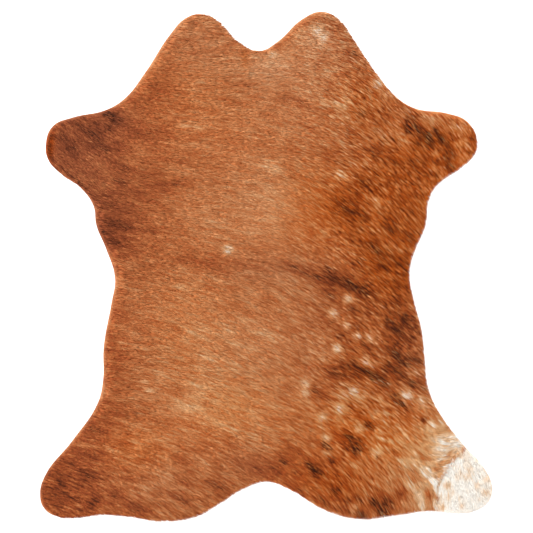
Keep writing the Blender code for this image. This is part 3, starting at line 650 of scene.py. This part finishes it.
depthHere, ridgeHere = depthMap()
outX, outY = -np.gradient(inside, mapPitch, axis=1), -np.gradient(inside, mapPitch, axis=0)
downhair = np.clip(outX * lieX + outY * lieY, 0.0, 1.0)       # 1 where tips point over the edge
uphair = np.clip(-outX * lieX - outY * lieY, 0.0, 1.0)        # 1 where hair starts at the edge
leatherInset = soften(coat["inset"] + coat["overhang"] * downhair, coat["insetSoftness"])


# a new node, with its settings, values and links
def put(tree, kind, sockets=None, **settings):
    made = tree.nodes.new(kind)
    for name, value in settings.items():
        setattr(made, name, value)
    for key, value in (sockets or {}).items():
        if isinstance(value, bpy.types.NodeSocket):
            tree.links.new(value, made.inputs[key])
        else:
            made.inputs[key].default_value = value
    return made


def calc(tree, operation, *values, clamp=False):
    sockets = dict(enumerate(values))
    return put(tree, "ShaderNodeMath", sockets, operation=operation, use_clamp=clamp).outputs[0]


def newGroup(name, kind, inputs, outputs):
    group = bpy.data.node_groups.new(name, kind)
    for label, socketType, value in inputs:
        socket = group.interface.new_socket(label, in_out="INPUT", socket_type=socketType)
        if value is not None:
            socket.default_value = value
    for label, socketType in outputs:
        group.interface.new_socket(label, in_out="OUTPUT", socket_type=socketType)
    return group, group.nodes.new("NodeGroupInput").outputs, group.nodes.new("NodeGroupOutput").inputs


def srgb(*channels):
    channels = [value / 255.0 for value in channels]
    return tuple([v / 12.92 if v < 0.04045 else ((v + 0.055) / 1.055) ** 2.4 for v in channels] + [1.0])


# a colour that runs through these stops, each a place and its red, green and blue out of 255
def ramp(tree, factor, stops):
    made = put(tree, "ShaderNodeValToRGB", {"Fac": factor})
    elements = made.color_ramp.elements
    while len(elements) < len(stops):
        elements.new(0.5)
    for element, (place, colour) in zip(elements, stops):
        element.position = place
        element.color = srgb(*colour)
    return made.outputs["Color"]


def noise(tree, place, scale, detail, roughness=0.5):
    sockets = {"Vector": place, "Scale": scale, "Detail": detail, "Roughness": roughness}
    return put(tree, "ShaderNodeTexNoise", sockets).outputs["Fac"]


def mapRange(tree, value, low, high, start=0.0, end=1.0):
    sockets = {"Value": value, "From Min": start, "From Max": end, "To Min": low, "To Max": high}
    return put(tree, "ShaderNodeMapRange", sockets).outputs[0]


def attribute(tree, name, output="Fac"):
    return put(tree, "ShaderNodeAttribute", attribute_name=name).outputs[output]


def newMaterial(name, roughness, specular):
    material = bpy.data.materials.new(name)
    material.use_nodes = True
    shader = material.node_tree.nodes["Principled BSDF"]
    shader.inputs["Roughness"].default_value = roughness
    shader.inputs["Specular IOR Level"].default_value = specular
    return material, material.node_tree, shader.inputs


# hair colours by tone, from the darkest brindle to the white shank
plainHair = (
    (0.00, (66, 34, 22)), (0.12, (100, 49, 29)), (0.22, (133, 68, 40)), (0.30, (149, 80, 48)),
    (0.38, (164, 94, 56)), (0.46, (180, 112, 69)), (0.54, (192, 129, 86)), (0.62, (200, 145, 103)),
    (0.72, (212, 168, 129)), (0.83, (228, 200, 170)), (0.92, (238, 225, 210)), (1.00, (243, 239, 232)),
)
rustyHair = (
    (0.00, (60, 28, 13)), (0.12, (101, 44, 17)), (0.22, (137, 61, 22)), (0.30, (167, 74, 25)),
    (0.38, (180, 91, 36)), (0.46, (191, 107, 51)), (0.54, (200, 126, 70)), (0.62, (207, 145, 91)),
    (0.72, (216, 166, 115)), (0.83, (228, 193, 155)), (0.92, (238, 224, 207)), (1.00, (243, 239, 232)),
)
suedeColours = ((0.30, (176, 150, 122)), (0.50, (204, 182, 154)), (0.70, (222, 204, 180)))
cutColours = ((0.30, (150, 88, 44)), (0.50, (186, 118, 66)), (0.72, (208, 148, 96)))

finish = {
    "patchScale": 260.0, "patchStrength": 4.0, "hairPatches": 0.02, "undercoatPatches": 0.08,
    "stir": 7.31, "paleLeast": 0.14, "paleMore": 0.52,      # how far a fleck lifts the tone of its hairs
    "strandScale": 2.2, "strandStretch": (1.6, 3.2, 60.0), "strandShade": (0.90, 1.10),
    # a lock's colour is scaled from root to tip: painted shade at the root, painted light at the tip
    "strandRoughness": (0.45, 0.70), "rootPaintedShade": 0.89, "tipPaintedLight": 1.24,
    # a fine speckle darkens the undercoat: painted shade down among the roots
    "shadeSpeckleScale": 900.0, "undercoatPaintedShade": 0.75,
    "cloudScale": 14.0, "suedeFibres": 700.0, "suedeBump": (0.0004, 0.6),
    "cutFibres": 420.0, "cutStretch": 6.0, "cutBump": (0.0003, 0.5),
}


# colour of hair from its tone, with small patches and some paler hairs inside the flecks, scaled by the
# painted shade and grain it is given
def hairColourGroup():
    group, given, result = newGroup("hairColour", "ShaderNodeTree", (
        ("Tone", "NodeSocketFloat", 0.45), ("Rust", "NodeSocketFloat", 0.2), ("Pale", "NodeSocketFloat", 0.0),
        ("Place", "NodeSocketVector", None), ("Chance", "NodeSocketFloat", 0.5),
        ("Patch Change", "NodeSocketFloat", finish["hairPatches"]), ("Painted Shade And Grain", "NodeSocketFloat", 1.0)),
        (("Color", "NodeSocketColor"),))
    patches = noise(group, given["Place"], finish["patchScale"], 2.0, roughness=0.6)
    patch = calc(group, "MULTIPLY", calc(group, "SUBTRACT", patches, 0.5),
                 calc(group, "MULTIPLY", given["Patch Change"], finish["patchStrength"]))
    uneven = calc(group, "FRACT", calc(group, "MULTIPLY", given["Chance"], finish["stir"]))
    paler = calc(group, "ADD", finish["paleLeast"], calc(group, "MULTIPLY", uneven, finish["paleMore"]))
    tone = calc(group, "ADD", calc(group, "ADD", given["Tone"], patch),
                calc(group, "MULTIPLY", given["Pale"], paler), clamp=True)
    plain, rusty = ramp(group, tone, plainHair), ramp(group, tone, rustyHair)
    mixed = put(group, "ShaderNodeMix", {"Factor": given["Rust"], "A": plain, "B": rusty},
                data_type="RGBA", clamp_factor=False)
    shadedColour = put(group, "ShaderNodeVectorMath", {0: mixed.outputs["Result"], "Scale": given["Painted Shade And Grain"]},
              operation="SCALE")
    group.links.new(shadedColour.outputs["Vector"], result["Color"])
    return group


def hairMaterial(colourGroup):
    material, tree, shader = newMaterial("lyingHair", 0.6, 0.10)
    sources = [attribute(tree, name) for name in ("along", "across", "lockChance")]
    strand = put(tree, "ShaderNodeCombineXYZ", {
        axis: calc(tree, "MULTIPLY", source, stretch)
        for axis, source, stretch in zip("XYZ", sources, finish["strandStretch"])})
    strands = noise(tree, strand.outputs[0], finish["strandScale"], 2.0)
    # darker at a lock's root and lighter at its tip: painted shade deep in the coat and painted light on the
    # tips
    paintedRootToTip = mapRange(tree, sources[0], finish["rootPaintedShade"], finish["tipPaintedLight"])
    shade = mapRange(tree, strands, *finish["strandShade"], 0.3, 0.7)
    colour = put(tree, "ShaderNodeGroup", {
        "Tone": attribute(tree, "hairTone"), "Rust": attribute(tree, "hairRust"),
        "Pale": attribute(tree, "hairPale"), "Chance": sources[2],
        "Place": attribute(tree, "rootPlace", "Vector"), "Painted Shade And Grain": calc(tree, "MULTIPLY", paintedRootToTip, shade),
    }, node_tree=colourGroup)
    tree.links.new(colour.outputs["Color"], shader["Base Color"])
    tree.links.new(mapRange(tree, strands, *finish["strandRoughness"]), shader["Roughness"])
    return material


def undercoatMaterial(colourGroup):
    material, tree, shader = newMaterial("undercoat", 0.8, 0.1)
    place = put(tree, "ShaderNodeTexCoord").outputs["Object"]
    # the undercoat is darkened in a fine pore-like speckle: painted shade among the roots
    rootShadeSpeckle = noise(tree, place, finish["shadeSpeckleScale"], 3.0)
    colour = put(tree, "ShaderNodeGroup", {
        "Tone": attribute(tree, "hairTone"), "Rust": attribute(tree, "hairRust"),
        "Pale": attribute(tree, "hairPale"), "Place": place, "Patch Change": finish["undercoatPatches"],
        "Painted Shade And Grain": mapRange(tree, rootShadeSpeckle, finish["undercoatPaintedShade"], 1.0),
    }, node_tree=colourGroup)
    tree.links.new(colour.outputs["Color"], shader["Base Color"])
    return material


def fibreBump(tree, shader, fibres, distance, strength):
    bump = put(tree, "ShaderNodeBump", {"Height": fibres, "Distance": distance, "Strength": strength})
    tree.links.new(bump.outputs[0], shader["Normal"])


def suedeMaterial():
    material, tree, shader = newMaterial("suedeBack", 0.92, 0.1)
    place = put(tree, "ShaderNodeTexCoord").outputs["Object"]
    clouds = noise(tree, place, finish["cloudScale"], 4.0)
    fibres = noise(tree, place, finish["suedeFibres"], 3.0, roughness=0.7)
    both = calc(tree, "ADD", calc(tree, "MULTIPLY", clouds, 0.6), calc(tree, "MULTIPLY", fibres, 0.4))
    tree.links.new(ramp(tree, both, suedeColours), shader["Base Color"])
    fibreBump(tree, shader, fibres, *finish["suedeBump"])
    return material


def cutMaterial():
    material, tree, shader = newMaterial("cutLeather", 0.75, 0.2)
    place = put(tree, "ShaderNodeTexCoord").outputs["Object"]
    layers = put(tree, "ShaderNodeMapping", {"Vector": place, "Scale": (1.0, 1.0, finish["cutStretch"])})
    fibres = noise(tree, layers.outputs[0], finish["cutFibres"], 3.0)
    tree.links.new(ramp(tree, fibres, cutColours), shader["Base Color"])
    fibreBump(tree, shader, fibres, *finish["cutBump"])
    return material


hairColour = hairColourGroup()
lyingHair = hairMaterial(hairColour)
sheetFinishes = (undercoatMaterial(hairColour), suedeMaterial(), cutMaterial())
print("finishes made")

leather = {
    "thickness": 0.0022, "edgeStep": 0.004, "pitch": 0.0075, "jitter": 0.22, "room": 0.6,
    "rim": (0.003, 0.001), "rimTone": 0.02, "rimRust": -0.7,      # bare roots where hair starts at the edge
}
rowStep = 0.866      # of the pitch, so that spots lie as in a honeycomb


# rows of spots over the whole map, every other row moved by half a step
def spotRows(pitch):
    rows = []
    for index, y in enumerate(np.arange(mapY.min(), mapY.max(), pitch * rowStep)):
        x = np.arange(mapX.min() + 0.5 * pitch * (index % 2), mapX.max(), pitch)
        rows.append(np.column_stack([x, np.full(len(x), y)]))
    return np.vstack(rows)


# places on the sheet that finishes are kept on, from 0 to 1
layout = {"margin": 0.002, "full": 0.996, "half": 0.496, "backStart": 0.502, "foot": 0.03, "tall": 0.967,
          "rimHigh": 0.018, "rimLow": 0.004}


# the top lies in the left half of the sheet, the back in the right half and the cut edge along the foot
def leatherSheets(mesh, rimCount):
    sideCount = len(mesh.vertices) // 2
    places = np.array([vert.co for vert in mesh.vertices])
    low, size = places[:, :2].min(axis=0), np.ptp(places[:, :2], axis=0)
    flat = (places[:, :2] - low) / size
    layer = mesh.uv_layers.new(name="OFBake")
    for polygon in mesh.polygons:
        points = list(polygon.vertices)
        if polygon.material_index == 2:
            along = [point % sideCount for point in points]
            wraps = max(along) - min(along) > 1
            for loop, point, step in zip(polygon.loop_indices, points, along):
                step = rimCount if wraps and step == 0 else step
                high = layout["rimHigh"] if point < sideCount else layout["rimLow"]
                layer.data[loop].uv = (layout["margin"] + layout["full"] * step / rimCount, high)
        else:
            start = layout["backStart"] if polygon.material_index == 1 else layout["margin"]
            for loop, point in zip(polygon.loop_indices, points):
                layer.data[loop].uv = (start + layout["half"] * flat[point, 0],
                                       layout["foot"] + layout["tall"] * flat[point, 1])


def hideLeather():
    ring = resample(edgePoints, leather["edgeStep"])
    outward = np.column_stack([readMap(outX, *ring.T), readMap(outY, *ring.T)])
    outward /= np.linalg.norm(outward, axis=1)[:, None]
    ring = ring - outward * readMap(leatherInset, *ring.T)[:, None]
    count = len(ring)

    spots = spotRows(leather["pitch"])
    spots += dice.uniform(-leather["jitter"], leather["jitter"], spots.shape) * leather["pitch"]
    room = readMap(inside, *spots.T) - readMap(leatherInset, *spots.T)
    spots = spots[room > leather["room"] * leather["pitch"]]

    points = [Vector(point) for point in np.vstack([ring, spots]).tolist()]
    edges = [(index, (index + 1) % count) for index in range(count)]
    made = geometry.delaunay_2d_cdt(points, edges, [], 1, 1e-7)      # 1 keeps only what is inside the ring
    flat = bpy.data.meshes.new("hideLeather")
    flat.from_pydata([(co.x, co.y, leather["thickness"]) for co in made[0]], [], made[2])
    flat.update()
    if sum(polygon.normal.z for polygon in flat.polygons) < 0.0:
        flat.flip_normals()

    places = np.array([vert.co for vert in flat.vertices])[:, :2].T
    bare = smooth(readMap(inside, *places), *leather["rim"]) * readMap(uphair, *places)
    blended = (toneMap - darkMap) * (1.0 - shank) + whiteMap * shank
    keepOnPoints(flat, "hairTone", readMap(blended, *places) + leather["rimTone"] * bare)
    keepOnPoints(flat, "hairRust", readMap(rustMap, *places) + leather["rimRust"] * bare)
    keepOnPoints(flat, "hairPale", readMap(paleMap, *places))
    for material in sheetFinishes:
        flat.materials.append(material)
    piece = placeObject("hideLeather", flat)
    solidify = piece.modifiers.new("thickness", "SOLIDIFY")
    solidify.thickness = leather["thickness"]
    solidify.offset = -1.0
    solidify.material_offset = 1
    solidify.material_offset_rim = 2
    finished = bpy.data.meshes.new_from_object(piece.evaluated_get(bpy.context.evaluated_depsgraph_get()))
    piece.modifiers.clear()
    piece.data = finished
    bpy.data.meshes.remove(flat)
    finished.name = "hideLeather"
    leatherSheets(finished, count)
    return piece


hide = hideLeather()
print("leather cut:", len(hide.data.polygons), "faces")


# where each lock is rooted: an even scatter, closer where the hair is shorter
def rootSpots():
    x, y = spotRows(coat["rootPitch"]).T
    x = x + dice.uniform(-0.5, 0.5, x.shape) * coat["rootPitch"]
    y = y + dice.uniform(-0.5, 0.5, y.shape) * coat["rootPitch"]
    depth = readMap(depthHere, x, y)
    keep = dice.random(x.shape) < np.clip(coat["shankDepth"] / depth * coat["crowding"], 0.0, 1.0)
    keep &= readMap(inside, x, y) > readMap(leatherInset, x, y) + coat["rootInset"]
    return x[keep], y[keep]


def rootPoints():
    x, y = rootSpots()
    lx, ly = readMap(lieX, x, y), readMap(lieY, x, y)
    size = np.hypot(lx, ly)
    lx, ly = lx / size, ly / size
    depth = readMap(depthHere, x, y) + coat["crestHeight"] * readMap(ridgeHere, x, y)
    length = coat["lengthPerDepth"] * readMap(depthHere, x, y)
    length *= 1.0 + coat["lengthChange"] * dice.uniform(-1.0, 1.0, x.shape)
    spare = dice.uniform(*coat["tipSpare"], x.shape)
    for _ in range(coat["trimSteps"]):
        over = -readMap(inside, x + length * lx, y + length * ly) > spare
        length = np.where(over & (length > coat["shortest"]), length * coat["trim"], length)
    tipInside = np.clip(readMap(inside, x + length * lx, y + length * ly), 0.0, coat["roll"])
    roll = np.sqrt(1.0 - (1.0 - tipInside / coat["roll"]) ** 2)
    rise = depth * (coat["flattest"] + (1.0 - coat["flattest"]) * roll) / length

    mesh = bpy.data.meshes.new("roots")
    height = np.full(len(x), leather["thickness"] - coat["rootDepth"])
    mesh.from_pydata(np.column_stack([x, y, height]).tolist(), [], [])
    keepOnPoints(mesh, "lieAngle", np.arctan2(ly, lx))
    keepOnPoints(mesh, "lockLift", np.arcsin(np.clip(rise, coat["leastLift"], coat["mostLift"])))
    keepOnPoints(mesh, "lockLength", length)
    wide = coat["shortWidth"] + (1.0 - coat["shortWidth"]) * length / coat["fullWidthLength"]
    keepOnPoints(mesh, "lockWidth", np.clip(wide, 0.0, 1.1) * coat["width"])
    keepOnPoints(mesh, "startEdge", smooth(readMap(inside, x, y), *coat["startEdge"]) * readMap(uphair, x, y))
    keepOnPoints(mesh, "onWhite", whiteRoots(x, y))
    unevenness = softChance(coat["unevenWidth"])      # slow unevenness in the combing
    keepOnPoints(mesh, "roughness", readMap(unevenness / unevenness.std(), x, y))
    return placeObject("roots", mesh)


# hair rooted on the shank's side of the crest is white, along a ragged border
def whiteRoots(x, y):
    wander = softChance(coat["wanderWidth"])
    away = readMap(fromCrest, x, y) + coat["crestWander"] * readMap(wander / wander.std(), x, y)
    away += coat["crestFray"] * dice.standard_normal(x.shape)
    return np.where((away > 0.0) & (readMap(onLeg.astype(float), x, y) > 0.5), 1.0, 0.0)


# the shapes of a lock, with how far its tip bends aside and droops
lockShapes = (("straight", 0.0, -0.3), ("leftBend", 0.35, -0.1), ("rightBend", -0.35, -0.4))


# one lock of hair: five points, six faces, root at the origin and tip at x = 1
def lockObjects():
    drawer = bpy.data.collections.new("lockShapes")
    knee, ridge = coat["kneeAt"], coat["ridgeAt"]
    faces = ((0, 1, 2), (4, 2, 1), (0, 3, 1), (0, 2, 3), (4, 1, 3), (4, 3, 2))
    for name, bend, droop in lockShapes:
        mesh = bpy.data.meshes.new(name)
        mesh.from_pydata(((0.0, 0.0, 0.0), (knee, 0.5 + 0.2 * bend, -0.05), (knee, -0.5 + 0.2 * bend, -0.05),
                          (ridge, 0.25 * bend, 0.55), (1.0, bend, droop)), [], faces)
        mesh.shade_smooth()
        keepOnPoints(mesh, "along", (0.0, knee, knee, ridge, 1.0))
        keepOnPoints(mesh, "across", (0.0, 1.0, -1.0, 0.0, 0.0))
        drawer.objects.link(bpy.data.objects.new(name, mesh))
    return drawer


def coatTree():
    tree, given, result = newGroup("layCoat", "GeometryNodeTree", (
        ("Roots", "NodeSocketGeometry", None), ("Lock Shapes", "NodeSocketCollection", None),
        ("Thickness", "NodeSocketFloat", coat["thickness"]),
        ("Stray", "NodeSocketFloat", math.radians(coat["stray"])),
        ("Uneven Combing", "NodeSocketFloat", math.radians(coat["roughStray"])),
        ("Lift Change", "NodeSocketFloat", math.radians(coat["liftChange"])),
        ("Seed", "NodeSocketInt", coat["seed"]), ("Hair", "NodeSocketMaterial", None),
    ), (("Coat", "NodeSocketGeometry"),))

    def named(name):
        return put(tree, "GeometryNodeInputNamedAttribute", {"Name": name}, data_type="FLOAT").outputs[0]

    def chance(low, high, step, kind="FLOAT"):
        seed = calc(tree, "ADD", given["Seed"], float(step))
        made = put(tree, "FunctionNodeRandomValue", {"Seed": seed}, data_type=kind)
        bounds = [socket for socket in made.inputs if socket.name in ("Min", "Max") and socket.enabled]
        bounds[0].default_value, bounds[1].default_value = low, high
        return [socket for socket in made.outputs if socket.enabled][0]

    def times(first, second):
        return calc(tree, "MULTIPLY", first, second)

    yaw = calc(tree, "ADD", named("lieAngle"), times(chance(-1.0, 1.0, 1), given["Stray"]))
    yaw = calc(tree, "ADD", yaw, times(named("roughness"), given["Uneven Combing"]))
    pitch = calc(tree, "ADD", named("lockLift"), times(chance(-1.0, 1.0, 2), given["Lift Change"]))
    pitch = times(calc(tree, "MAXIMUM", pitch, 0.0), -1.0)
    roll = chance(-coat["tilt"], coat["tilt"], 3)
    turned = put(tree, "ShaderNodeCombineXYZ", {"X": roll, "Y": pitch, "Z": yaw})
    rotation = put(tree, "FunctionNodeEulerToRotation", {0: turned.outputs[0]})
    scale = put(tree, "ShaderNodeCombineXYZ", {
        "X": named("lockLength"), "Y": named("lockWidth"), "Z": given["Thickness"]})
    shapes = put(tree, "GeometryNodeCollectionInfo", {
        "Collection": given["Lock Shapes"], "Separate Children": True, "Reset Children": True})
    scattered = put(tree, "GeometryNodeInstanceOnPoints", {
        "Points": given["Roots"], "Instance": shapes.outputs[0], "Pick Instance": True,
        "Instance Index": chance(0, len(lockShapes) - 1, 4, "INT"), "Rotation": rotation.outputs[0],
        "Scale": scale.outputs[0]}).outputs[0]
    rootPlace = put(tree, "GeometryNodeInputPosition").outputs[0]
    for name, kind, value in (("lockChance", "FLOAT", chance(0.0, 1.0, 5)),
                              ("rootPlace", "FLOAT_VECTOR", rootPlace)):
        scattered = put(tree, "GeometryNodeStoreNamedAttribute", {
            "Geometry": scattered, "Name": name, "Value": value}, data_type=kind, domain="INSTANCE")
        scattered = scattered.outputs[0]
    real = put(tree, "GeometryNodeRealizeInstances", {"Geometry": scattered}).outputs[0]
    done = put(tree, "GeometryNodeSetMaterial", {"Geometry": real, "Material": given["Hair"]})
    tree.links.new(done.outputs[0], result[0])
    return tree


def layCoat():
    roots = rootPoints()
    drawer = lockObjects()
    tree = coatTree()
    modifier = roots.modifiers.new("layCoat", "NODES")
    modifier.node_group = tree
    sockets = {item.name: item.identifier for item in tree.interface.items_tree if item.in_out == "INPUT"}
    modifier[sockets["Lock Shapes"]] = drawer
    modifier[sockets["Hair"]] = lyingHair
    laid = bpy.data.meshes.new_from_object(roots.evaluated_get(bpy.context.evaluated_depsgraph_get()))
    print("locks laid:", len(laid.vertices) // 5)
    for shape in list(drawer.objects):
        bpy.data.objects.remove(shape)
    bpy.data.collections.remove(drawer)
    bpy.data.objects.remove(roots)
    return laid


# the coat is kept as strips from side to side, cut between locks, so that each can carry its own bake
stripNames = ("coatFarLeft", "coatLeft", "coatMiddle", "coatRight", "coatFarRight")


# colours each point of a lock by where that part of the lock shows: its middle peeps out past the lock
# behind, and its tip is what covers the next
def lockColours(places, stored):
    along, roots, chance = stored["along"], stored["rootPlace"], stored["lockChance"]
    shows = (1.0, coat["kneeShows"] / coat["kneeAt"], coat["tipShows"])
    show = np.interp(along, (0.0, coat["kneeAt"], 1.0), shows)
    x, y = (roots[:, :2] + (places[:, :2] - roots[:, :2]) * show[:, None]).T
    start, white = stored.pop("startEdge"), stored.pop("onWhite")
    # dark marks are dark hairs among brown ones, so some locks take more of a mark than others
    take = coat["markSpread"] * (coat["stir"] * chance % 1.0) ** 2
    tone = readMap(toneMap, x, y) - readMap(darkMap, x, y) * take
    calm = 1.0 - coat["paleCalm"] * smooth(tone, *coat["paleTones"])
    tone += (chance - 0.5) * readMap(changeMap, x, y) * calm
    # at the edge where hair starts, pale root ends make a thin line, and the hair behind it is darkened:
    # painted shade along that edge
    fromEdge = readMap(inside, x, y)
    rim = smooth(fromEdge, *coat["rim"]) * readMap(uphair, x, y)
    rootEnd = start * (along == 0.0)
    tone += coat["rootPale"] * rootEnd - coat["rimPaintedShade"] * rim
    # the white hair is greyed along the cut edge: painted shade round the white shank
    whiteHair = readMap(whiteMap, x, y) - coat["whiteRimPaintedShade"] * smooth(fromEdge, *coat["whiteRim"])
    return {"hairTone": tone * (1.0 - white) + whiteHair * white,
            "hairRust": np.clip(readMap(rustMap, x, y) - rootEnd, 0.0, colouring["mostRust"]),
            "hairPale": readMap(paleMap, x, y) * (1.0 - white)}


# all the numbers of one kind in a mesh, in rows this wide
def readAll(source, name, kind, width=1):
    values = np.empty(len(source) * width, kind)
    source.foreach_get(name, values)
    return values.reshape(-1, width) if width > 1 else values


def coatStrips(laid):
    places = readAll(laid.vertices, "co", np.float32, 3)
    corners = readAll(laid.loops, "vertex_index", np.int32).reshape(-1, 3)
    stored = {name: readAll(laid.attributes[name].data, "value", np.float32)
              for name in ("along", "across", "lockChance", "startEdge", "onWhite")}
    stored["rootPlace"] = readAll(laid.attributes["rootPlace"].data, "vector", np.float32, 3)
    stored.update(lockColours(places, stored))
    rootX = stored["rootPlace"][:, 0]
    bars = np.quantile(rootX, np.linspace(0.0, 1.0, len(stripNames) + 1))
    strip = np.clip(np.searchsorted(bars, rootX, side="right") - 1, 0, len(stripNames) - 1)

    pieces = []
    for index, name in enumerate(stripNames):
        mine = strip == index
        number = np.cumsum(mine) - 1
        faces = number[corners[mine[corners[:, 0]]]]
        co = places[mine]
        mesh = bpy.data.meshes.new(name)
        mesh.from_pydata(co.tolist(), [], faces.tolist())
        mesh.shade_smooth()
        for label, values in stored.items():
            keepOnPoints(mesh, label, values[mine])
        low, high = co[:, :2].min(axis=0), co[:, :2].max(axis=0)
        flat = (layout["margin"] + layout["full"] * (co[:, :2] - low) / (high - low)).astype(np.float32)
        mesh.uv_layers.new(name="OFBake").data.foreach_set("uv", flat[faces.ravel()].ravel())
        mesh.materials.append(lyingHair)
        pieces.append(placeObject(name, mesh))
        print(name, len(faces), "triangles")
    return pieces


laidCoat = layCoat()
coatPieces = coatStrips(laidCoat)
bpy.data.meshes.remove(laidCoat)

studio = {"worldStrength": 1.36, "keyEnergy": 63.0, "keySize": 1.8, "keyPlace": (-1.0, 1.1, 2.2),
          "floorColour": (0.93, 0.93, 0.93, 1.0), "floorSide": 8.0, "floorGap": 0.0006}
shot = {"height": 3.0, "frameWidth": 0.9386, "aimX": 0.0009, "aimY": 0.0, "sensor": 36.0}


def layFloor():
    side, down = studio["floorSide"], -studio["floorGap"]
    mesh = bpy.data.meshes.new("floor")
    mesh.from_pydata([(-side, -side, down), (side, -side, down), (side, side, down), (-side, side, down)], [],
                     [(0, 1, 2, 3)])
    material, _, shader = newMaterial("paleFloor", 0.9, 0.1)
    shader["Base Color"].default_value = studio["floorColour"]
    mesh.materials.append(material)
    placeObject("floor", mesh)


def lightStudio():
    scene = bpy.context.scene
    scene.world = bpy.data.worlds.new("studio")
    scene.world.use_nodes = True
    background = scene.world.node_tree.nodes["Background"].inputs
    background["Color"].default_value = (1.0, 1.0, 1.0, 1.0)
    background["Strength"].default_value = studio["worldStrength"]
    lamp = bpy.data.lights.new("key", "AREA")
    lamp.energy = studio["keyEnergy"]
    lamp.size = studio["keySize"]
    key = placeObject("key", lamp)
    key.location = studio["keyPlace"]
    key.rotation_mode = "QUATERNION"
    key.rotation_quaternion = Vector(studio["keyPlace"]).to_track_quat("Z", "Y")
    scene.view_settings.view_transform = "Standard"


def placeCamera():
    lens = bpy.data.cameras.new("camera")
    lens.sensor_width = shot["sensor"]
    lens.lens = shot["sensor"] * shot["height"] / shot["frameWidth"]
    lens.clip_start = 0.1
    lens.clip_end = 20.0
    camera = placeObject("camera", lens)
    camera.location = (shot["aimX"], shot["aimY"], shot["height"])
    bpy.context.scene.camera = camera


layFloor()
lightStudio()
placeCamera()

for piece in [hide] + coatPieces:
    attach(piece, "root")
    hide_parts("cowhide")
